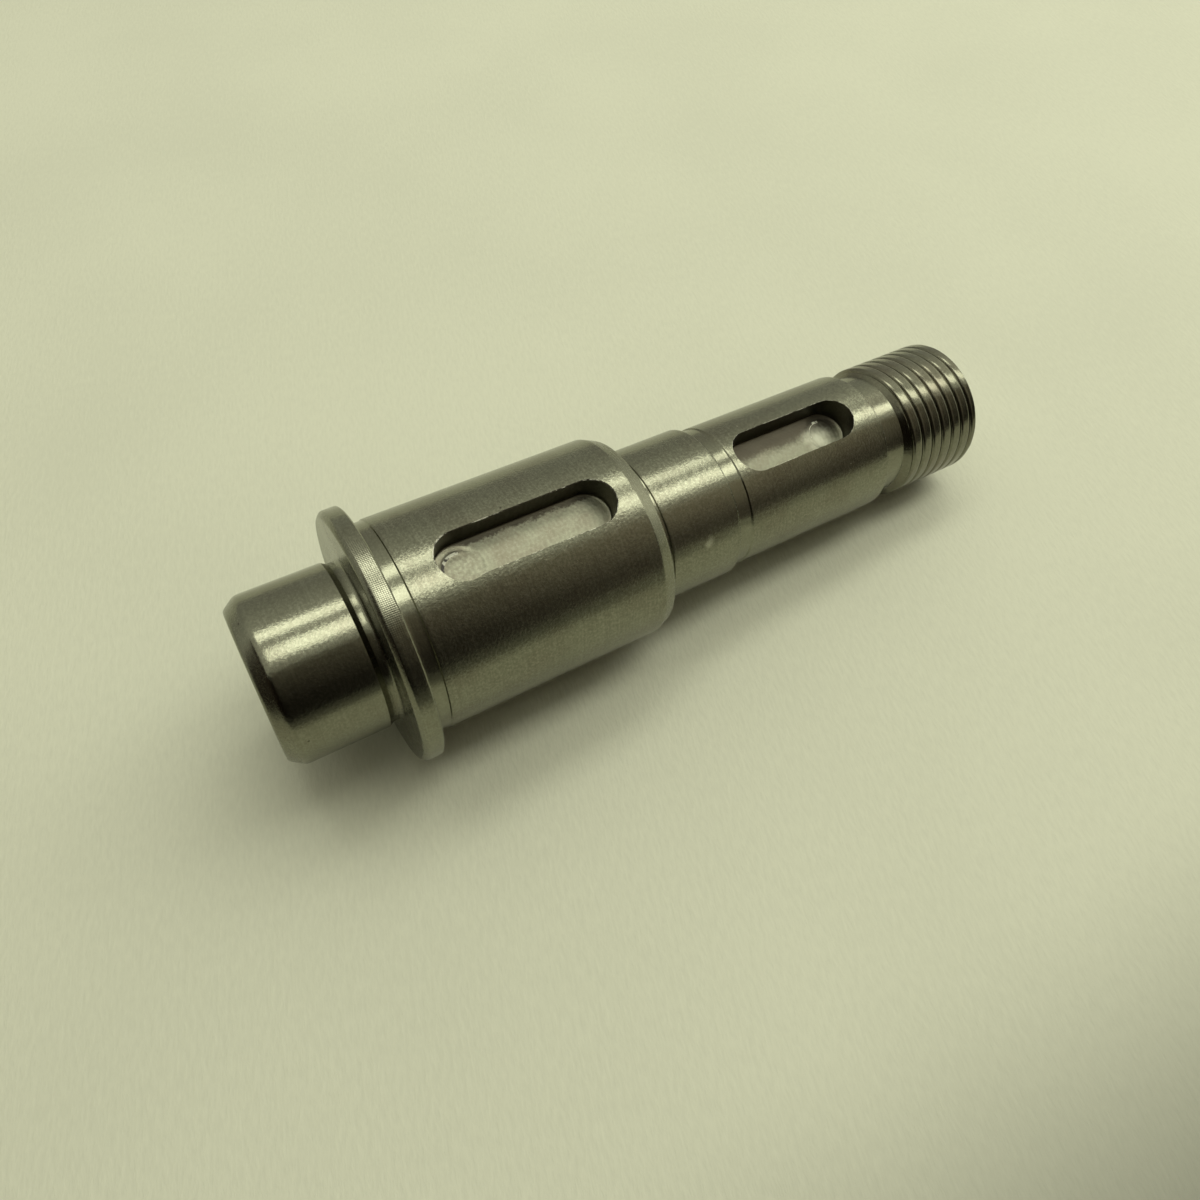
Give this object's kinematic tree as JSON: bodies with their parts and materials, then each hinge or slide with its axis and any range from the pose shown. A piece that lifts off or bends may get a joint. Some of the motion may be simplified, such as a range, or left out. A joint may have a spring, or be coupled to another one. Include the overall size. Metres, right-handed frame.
{
  "type": "stepped shaft",
  "caption": "Turned steel shaft with a plain journal, thin collar, keyed gear seat, bearing seat, keyed end seat and fine-threaded end, for carrying a gear and a locked wheel.",
  "frame": {"origin": "centre of the journal's end face, on which the shaft stands", "axes": "+Z along the shaft towards its thread, -Y out of both keyways"},
  "size_m": [0.026, 0.026, 0.085],
  "materials": {
    "steel": "fine turned and ground steel with light handling marks"
  },
  "bodies": {
    "root": {"shaft": "steel"}
  },
  "joints": []
}
